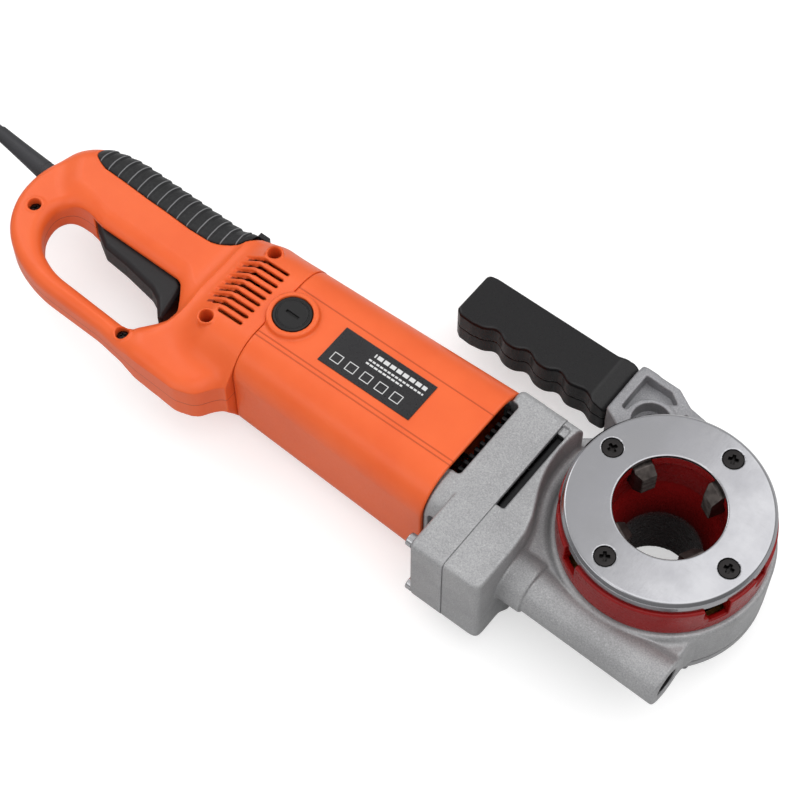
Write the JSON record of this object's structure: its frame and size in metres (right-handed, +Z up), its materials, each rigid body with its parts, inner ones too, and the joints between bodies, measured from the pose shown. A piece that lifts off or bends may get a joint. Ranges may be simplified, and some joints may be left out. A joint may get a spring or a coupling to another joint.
{
  "type": "pipe threading machine",
  "caption": "Handheld electric pipe threader with a D-handle and trigger, motor housing, worm gear head, removable die head and an auxiliary support handle.",
  "frame": {"origin": "centre of the pipe bore's lower mouth, in the plane that the machine rests on", "axes": "+Z up along the pipe and die head axis towards the cover plate; +X from the handle to the head; +Y towards the support handle"},
  "size_m": [0.7305, 0.268, 0.1],
  "materials": {
    "orange_plastic": "satin moulded orange plastic",
    "charcoal_rubber": "matte ribbed rubber",
    "black_plastic": "fine textured plastic",
    "charcoal_plastic": "satin moulded plastic",
    "cast_aluminium": "shot-blasted casting",
    "red_paint": "gloss paint on a casting",
    "chrome_plate": "polished chrome plating",
    "tool_steel": "dark hardened tool steel",
    "black_steel": "blackened screws",
    "bright_steel": "zinc plated steel",
    "bearing_steel": "ground steel",
    "lamination": "stacked steel sheet",
    "copper_wire": "lacquered copper",
    "bronze": "sintered bronze",
    "carbon": "pressed carbon",
    "label": "blank printed label",
    "grey_rubber": "soft dark grey rubber"
  },
  "bodies": {
    "machine": {"motor_housing": "orange_plastic", "handle_shell_upper": "orange_plastic", "handle_shell_lower": "orange_plastic", "grip_pad": "charcoal_rubber", "gearcase_adapter": "cast_aluminium", "gear_head_casting": "cast_aluminium", "head_bottom_cover": "cast_aluminium", "worm_end_plug": "black_plastic", "brush_cap_upper": "black_plastic", "brush_cap_lower": "black_plastic", "brush_holders": "bronze", "carbon_brushes": "carbon", "brush_springs": "bearing_steel", "field_stator": "lamination", "field_windings": "copper_wire", "rear_bearing_bracket": "black_plastic", "armature_bearings": "bearing_steel", "worm_bearings": "bearing_steel", "idler_bushes": "bronze", "drive_ring_bushes": "bronze", "switch_body": "black_plastic", "suppressor": "charcoal_plastic", "trigger_pin": "bright_steel", "trigger_spring": "bearing_steel", "selector_switch": "black_plastic", "rating_label": "label", "handle_screws": "bright_steel", "case_screws": "bright_steel", "head_cover_screws": "bright_steel", "strain_relief": "grey_rubber", "cord_clamp": "black_plastic", "mains_cord": "grey_rubber", "cord_coil": "grey_rubber", "plug_lead": "grey_rubber", "plug_body": "grey_rubber", "plug_pins": "bright_steel", "support_arm": "cast_aluminium", "arm_grip": "black_plastic", "arm_bolts": "bright_steel"},
    "armature": {"armature_shaft": "bearing_steel", "armature_core": "lamination", "commutator": "copper_wire", "cooling_fan": "charcoal_plastic", "armature_windings": "copper_wire"},
    "idler": {"idler_gear": "bearing_steel", "idler_shaft": "bearing_steel"},
    "worm": {"worm_shaft": "bearing_steel", "worm_gear": "bearing_steel"},
    "drive_ring": {"drive_sleeve": "bearing_steel", "worm_wheel": "bronze", "die_retaining_ring": "bearing_steel"},
    "die_head": {"die_head_body": "red_paint", "cover_plate": "chrome_plate", "plate_screws": "black_steel", "thread_dies": "tool_steel"},
    "trigger_lever": {"trigger": "charcoal_plastic"},
    "selector": {"selector_lever": "black_plastic"}
  },
  "joints": [
    {"name": "armature_spin", "type": "hinge", "parent": "machine", "child": "armature", "pos_m": [-0.18, -0.0267, 0.044], "axis": [1, 0, 0], "continuous": true},
    {"name": "idler_spin", "type": "hinge", "parent": "machine", "child": "idler", "pos_m": [-0.085, -0.04497, 0.02844], "axis": [1, 0, 0], "continuous": true},
    {"name": "worm_spin", "type": "hinge", "parent": "machine", "child": "worm", "pos_m": [0, -0.0655, 0.052], "axis": [1, 0, 0], "continuous": true},
    {"name": "drive_ring_spin", "type": "hinge", "parent": "machine", "child": "drive_ring", "pos_m": [0, 0, 0.052], "axis": [0, 0, 1], "continuous": true},
    {"name": "die_head_lift", "type": "slide", "parent": "drive_ring", "child": "die_head", "axis": [0, 0, 1], "range_m": [0, 0.04]},
    {"name": "trigger_pull", "type": "hinge", "parent": "machine", "child": "trigger_lever", "pos_m": [-0.391, -0.028, 0.044], "axis": [0, 0, 1], "range_deg": [0, 6], "stiffness_Nm_per_rad": 1, "springref_deg": -14.32},
    {"name": "selector_turn", "type": "hinge", "parent": "machine", "child": "selector", "pos_m": [-0.306, 0.01, 0.044], "axis": [0, 1, 0], "range_deg": [-30, 30]}
  ],
  "couplings": [
    {"joint": "idler_spin", "follows": "armature_spin", "ratio": -0.2},
    {"joint": "worm_spin", "follows": "armature_spin", "ratio": 0.05},
    {"joint": "drive_ring_spin", "follows": "armature_spin", "ratio": -0.0011111}
  ]
}
